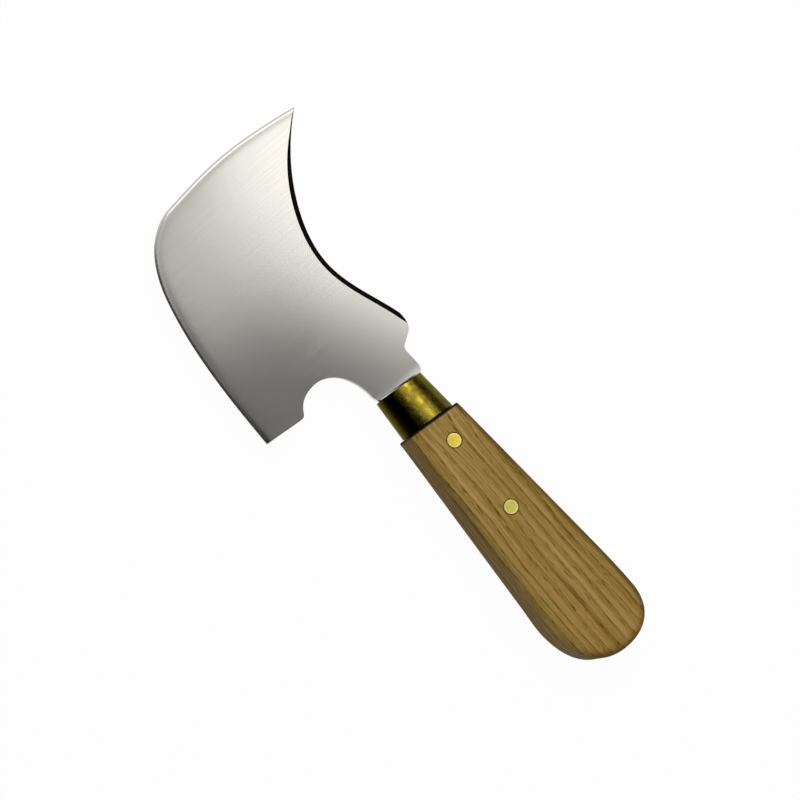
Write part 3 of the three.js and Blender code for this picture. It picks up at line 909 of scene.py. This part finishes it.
def grip_columns(sizes):
    """The handle's outline from the shoulder round the butt and back, its outward normals, and how far each
    place is drawn in to round the wood at the shoulder."""
    grip = GRIP_LENGTH / MM
    palm = PALM_WIDTH / 2
    side = palm - SIDE_TO_PALM
    run = grip - SIDE_TO_BUTT
    shoulder = FERRULE_REAR_RADIUS / MM + SHOULDER_STEP
    flare = math.degrees(math.atan2(side - shoulder, run))
    heel_palm = (HEEL_PALM_TO_BUTT - grip, palm, 180 + HEEL_PALM_TURN)
    back_palm = (BACK_PALM_TO_BUTT - grip, -palm, 0)
    heel_side = curve([(0, shoulder, 180 - flare), (-run, side, 180 - flare), heel_palm])
    butt = curve([heel_palm, (-grip, -BUTT_OFFSET, 270), back_palm], ROUND_PULL)
    back_side = curve([back_palm, (-run, -side, flare), (0, -shoulder, flare)])
    radius = sizes.shoulder_round
    turns = np.radians(np.linspace(90, 0, ROUND_STEPS + 1))
    front_x = radius * (np.sin(turns) - 1) - sizes.shoulder_gap
    front_in = radius * (1 - np.cos(turns))
    front_heel = np.column_stack((front_x, np.interp(-front_x, -heel_side[:, 0], heel_side[:, 1])))
    front_back = np.column_stack((front_x, np.interp(front_x, back_side[:, 0], back_side[:, 1])))
    middle = np.vstack((heel_side[1:], butt[1:], back_side[1:-1]))
    outline = np.vstack((front_heel, middle, front_back[::-1]))
    outward = np.vstack((
        np.tile((0, 1), (len(front_x), 1)),
        right_of(middle),
        np.tile((0, -1), (len(front_x), 1)),
    ))
    drawn_in = np.concatenate((front_in, np.zeros(len(middle)), front_in[::-1]))
    return outline, outward, drawn_in, len(front_x)


def grip_half(sizes):
    """The near half of the wood behind the shoulder, as points and faces."""
    outline, outward, drawn_in, fronts = grip_columns(sizes)
    columns = len(outline)
    radius = sizes.grip_round
    turns = np.radians(np.linspace(0, 90, ROUND_STEPS + 1))
    rows = [(drawn_in + sizes.seam_ease, np.zeros(columns)), (drawn_in, np.full(columns, sizes.seam_ease))]
    for turn in turns:
        inset = radius - (radius - drawn_in) * math.cos(turn)
        rows.append((inset, HALF_GRIP - radius + (radius - drawn_in) * math.sin(turn)))
    rows.append((np.full(columns, radius + FACE_MARGIN), HALF_GRIP - drawn_in))
    points = np.vstack([np.column_stack((outline - outward * inset[:, None], z)) for inset, z in rows])
    front = np.tile(np.arange(columns), len(rows))
    front = (front < fronts) | (front >= columns - fronts)
    points[front] = slanted(points[front])
    numbers = np.arange(len(points)).reshape(-1, columns)
    top = numbers[-1]
    faces = [numbers[0], *bands(numbers, closed=False)]
    for i in range(fronts - 1):
        faces.append([top[i], top[i + 1], top[-2 - i], top[-1 - i]])
    faces.append(top[fronts - 1:columns - fronts + 1])
    faces.append([*numbers[:, 0], *numbers[::-1, -1]])
    return points + (SHOULDER_X, 0, MIDDLE_Z), faces


def spigot_half(sizes):
    """The half round of wood that fills the ferrule, started inside the block behind it."""
    slope = (FERRULE_REAR_RADIUS - sizes.ferrule_front / 2) / FERRULE_LENGTH
    rear = FERRULE_REAR_RADIUS - sizes.ferrule_wall - SPIGOT_CLEARANCE * MM
    front = FERRULE_LENGTH - SPIGOT_SETBACK * MM
    turns = np.linspace(0, math.pi, FERRULE_SIDES // 2 + 1)
    arc = np.column_stack((np.cos(turns), np.sin(turns)))
    points = []
    for x, radius in ((-OVERCUT, rear), (0, rear), (front, rear - slope * front)):
        points.extend((x, radius * y, radius * z) for y, z in arc)
    rows = np.arange(len(points)).reshape(-1, len(arc))
    return slanted(points) + (SHOULDER_X, 0, MIDDLE_Z), [rows[0], rows[-1], *bands(rows)]


def upright(loop, low, high):
    """Points and faces of a prism on a closed loop of the plan, between two heights."""
    count = len(loop)
    points = np.vstack([np.column_stack((loop, np.full(count, height))) for height in (low, high)])
    rows = np.arange(len(points)).reshape(-1, count)
    return points, [*rows, *bands(rows)]


class KNIFE_OT_scales(bpy.types.Operator):
    """Shapes the two oak scales"""

    bl_idname = "knife.scales"
    bl_label = "Scales"

    def execute(self, context):
        sizes = context.scene.knife_sizes
        near = mesh_piece("near_oak_scale", *grip_half(sizes))
        carve(near, mesh_piece("spigot", *spigot_half(sizes)), "UNION")
        outside = GRIP_HIGH.z + OVERCUT
        head_seat = GRIP_HIGH.z - HEAD_HEIGHT * MM
        pocket = tang_outline(TANG_CLEARANCE, OVERCUT) + (NECK_X, 0)
        steel = upright(pocket, MIDDLE_Z - HALF_STEEL, MIDDLE_Z + HALF_STEEL)
        carve(near, mesh_piece("pocket", *steel), "DIFFERENCE")
        for node, _ in RIVETS.values():
            x, y, radius = rivet_place(node)
            bore = circle(x, y, SHANK_BORE_RADIUS * MM, RIVET_SIDES)
            seat = circle(x, y, radius + HEAD_CLEARANCE * MM, RIVET_SIDES)
            carve(near, mesh_piece("bore", *upright(bore, MIDDLE_Z - OVERCUT, outside)), "DIFFERENCE")
            carve(near, mesh_piece("seat", *upright(seat, head_seat, outside)), "DIFFERENCE")
        far = near.copy()
        far.name = "far_oak_scale"
        far.data = near.data.copy()
        far.data.transform(Matrix.Translation((0, 0, 2 * MIDDLE_Z)) @ Matrix.Scale(-1, 4, (0, 0, 1)))
        far.data.flip_normals()
        context.scene.collection.objects.link(far)
        wood = oiled_oak(context.scene.knife_looks)
        for piece, node in ((near, "near_scale"), (far, "far_scale")):
            dress(piece, wood, node, CREASE)
        return {"FINISHED"}


class KNIFE_OT_rivets(bpy.types.Operator):
    """Turns the two halves of each rivet"""

    bl_idname = "knife.rivets"
    bl_label = "Rivets"

    def execute(self, context):
        sizes = context.scene.knife_sizes
        looks = context.scene.knife_looks
        faces = {"front": looks.rivet, "rear": looks.rivet_worn}
        seat = HALF_GRIP - HEAD_HEIGHT * MM
        rim = sizes.head_round
        crown = HALF_GRIP - sizes.head_crown
        for name, (socket_node, pin_node) in RIVETS.items():
            x, y, radius = rivet_place(socket_node)
            socket_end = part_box(socket_node)[0].z - MIDDLE_Z
            pin_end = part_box(pin_node)[1].z - MIDDLE_Z
            bore_end = pin_end + PIN_END_CLEARANCE * MM
            head = quarter(radius - rim, crown - rim, rim, 0, 90)
            dome = [(radius * t, HALF_GRIP - sizes.head_crown * t * t) for t in DOME_RINGS]
            socket = [
                (0, bore_end),
                (SOCKET_BORE_RADIUS * MM, bore_end),
                (SOCKET_BORE_RADIUS * MM, socket_end),
                (SOCKET_RADIUS * MM, socket_end),
                (SOCKET_RADIUS * MM, seat),
                (radius, seat),
                *head,
                *dome,
            ]
            pin = [
                *[(r, -z) for r, z in reversed(head + dome)],
                (radius, -seat),
                (PIN_RADIUS * MM, -seat),
                (PIN_RADIUS * MM, pin_end),
                (0, pin_end),
            ]
            brass = flush_brass(looks, faces[name], x, y, radius)
            for kind, node, profile in (("socket", socket_node, socket), ("pin", pin_node, pin)):
                piece = mesh_piece(f"{name}_brass_{kind}", *turned_upright(profile, RIVET_SIDES, x, y))
                dress(piece, brass, node, CREASE)
        return {"FINISHED"}


def floor_material(stage):
    """A matt white floor that shows evenly and still holds the shadow under the knife."""
    material, tree = empty_material("matt_white_floor")
    matt = add_node(tree, "ShaderNodeBsdfDiffuse", {"Color": stage.floor})
    even = add_node(tree, "ShaderNodeEmission", {"Color": (1, 1, 1, 1), "Strength": 1})
    rays = add_node(tree, "ShaderNodeLightPath").outputs
    shown = rays["Is Camera Ray"]
    for kind in ("Is Glossy Ray", "Is Transmission Ray"):
        shown = add_node(tree, "ShaderNodeMath", {0: shown, 1: rays[kind]}, operation="MAXIMUM")
    amount = add_node(tree, "ShaderNodeMath", {0: shown, 1: stage.floor_even}, operation="MULTIPLY")
    mixed = add_node(tree, "ShaderNodeMixShader", {0: amount, 1: matt, 2: even})
    add_node(tree, "ShaderNodeOutputMaterial", {"Surface": mixed})
    return material


def soft_lamp(name, brightness, width, depth, place):
    """A rectangular soft light of even brightness, which faces straight down until it is turned."""
    data = bpy.data.lights.new(name, "AREA")
    data.shape = "RECTANGLE"
    data.size = width
    data.size_y = depth
    data.energy = brightness * math.pi * width * depth
    lamp = bpy.data.objects.new(name, data)
    lamp.location = place
    bpy.context.scene.collection.objects.link(lamp)
    return lamp


def shine_on(lamp, names):
    """Keeps a lamp's light to the named pieces."""
    lit = bpy.data.collections.new(f"{lamp.name}_lights")
    for name in names:
        lit.objects.link(bpy.data.objects[name])
    lamp.light_linking.receiver_collection = lit


def soft_panel(name, brightness, low, high, height, only):
    """A soft light between two corners, which the metal mirrors, or only some pieces."""
    middle = (Vector(low) + Vector(high)) / 2 * MM
    lamp = soft_lamp(name, brightness, *(Vector(high) - Vector(low)) * MM, (*middle, height))
    if only:
        shine_on(lamp, only)


def pale_wall(name, turn, foot, top, mirrors):
    """A stretch of the walls round the stage, upright and facing the knife, which only some pieces mirror."""
    around = math.radians(turn)
    width = 2 * WALL_REACH * math.tan(math.radians(WALL_TURN / 2)) * MM
    height = (top - foot) * MM
    middle = Vector((WALL_REACH * math.cos(around), WALL_REACH * math.sin(around), (foot + top) / 2))
    lamp = soft_lamp(f"{name}_{turn}", WALL_BRIGHTNESS, width, height, middle * MM)
    lamp.rotation_euler = (math.pi / 2, 0, around + math.pi / 2)
    shine_on(lamp, mirrors)


def lay_floor(stage):
    """A wide floor just under the knife."""
    ground = CAD_BOX[0].z - FLOOR_GAP * MM
    half = FLOOR_HALF * MM
    corners = ((-half, -half), (half, -half), (half, half), (-half, half))
    floor = mesh_piece("floor", [(x, y, ground) for x, y in corners], [[0, 1, 2, 3]])
    floor.data.materials.append(floor_material(stage))


def hang_lights(stage):
    """The soft panels, the walls that the metal mirrors, and a fill light that it doesn't mirror."""
    for name, (brightness, low, high, only) in PANELS.items():
        soft_panel(name, brightness, low, high, stage.panel_height, only)
    for turn in range(0, 360, WALL_TURN):
        pale_wall("wall", turn, WALL_FOOT, WALL_TOP, WALL_MIRRORS if turn % 180 else END_WALL_MIRRORS)
    for turn in HIGH_WALL_TURNS:
        pale_wall("high_wall", turn, WALL_TOP, HIGH_WALL_TOP, WALL_MIRRORS)
    fill = soft_lamp("fill", stage.fill, FILL_SIZE * MM, FILL_SIZE * MM, Vector(FILL_PLACE) * MM)
    fill.visible_glossy = False


def dark_room(stage):
    """A world that is dark to the knife, and white to the camera."""
    world = bpy.data.worlds.new("dark_room")
    world.use_nodes = True
    tree = world.node_tree
    seen = add_node(tree, "ShaderNodeLightPath").outputs["Is Camera Ray"]
    backdrop = add_node(
        tree, "ShaderNodeMix", {"Factor": seen, "A": stage.room, "B": (1, 1, 1, 1)}, data_type="RGBA"
    )
    tree.links.new(backdrop.outputs["Result"], tree.nodes["Background"].inputs["Color"])
    return world


def new_camera(stage):
    """The camera, leant and spun about the point that it looks at."""
    data = bpy.data.cameras.new("camera")
    data.lens = LENS
    data.sensor_width = SENSOR_WIDTH
    camera = bpy.data.objects.new("camera", data)
    camera.matrix_world = (
        Matrix.Translation((AIM[0] * MM, AIM[1] * MM, MIDDLE_Z))
        @ Matrix.Rotation(-stage.tilt, 4, "X")
        @ Matrix.Rotation(stage.spin, 4, "Z")
        @ Matrix.Translation((0, 0, stage.reach))
    )
    bpy.context.scene.collection.objects.link(camera)
    return camera


class KNIFE_OT_stage(bpy.types.Operator):
    """Lays the floor and sets the lights and the camera"""

    bl_idname = "knife.stage"
    bl_label = "Stage"

    def execute(self, context):
        scene = context.scene
        lay_floor(scene.knife_stage)
        hang_lights(scene.knife_stage)
        scene.world = dark_room(scene.knife_stage)
        scene.camera = new_camera(scene.knife_stage)
        scene.view_settings.view_transform = "Standard"
        return {"FINISHED"}


OPERATORS = (KNIFE_OT_blade, KNIFE_OT_ferrule, KNIFE_OT_scales, KNIFE_OT_rivets, KNIFE_OT_stage)
GROUPS = {"knife_sizes": KnifeSizes, "knife_looks": KnifeLooks, "knife_stage": KnifeStage}


class KNIFE_PT_sidebar(bpy.types.Panel):
    """The knife's pieces and settings"""

    bl_label = "Paring knife"
    bl_space_type = "VIEW_3D"
    bl_region_type = "UI"
    bl_category = "Knife"

    def draw(self, context):
        for operator in OPERATORS:
            self.layout.operator(operator.bl_idname)
        for name, group in GROUPS.items():
            box = self.layout.box()
            for field in group.__annotations__:
                box.prop(getattr(context.scene, name), field)


CLASSES = (*GROUPS.values(), *OPERATORS, KNIFE_PT_sidebar)


def register():
    for cls in CLASSES:
        bpy.utils.register_class(cls)
    for name, group in GROUPS.items():
        setattr(bpy.types.Scene, name, PointerProperty(type=group))


def unregister():
    for name in GROUPS:
        delattr(bpy.types.Scene, name)
    for cls in reversed(CLASSES):
        bpy.utils.unregister_class(cls)


def main():
    register()
    bpy.ops.knife.blade()
    bpy.ops.knife.ferrule()
    bpy.ops.knife.scales()
    bpy.ops.knife.rivets()
    bpy.ops.knife.stage()


if __name__ == "__main__":
    main()
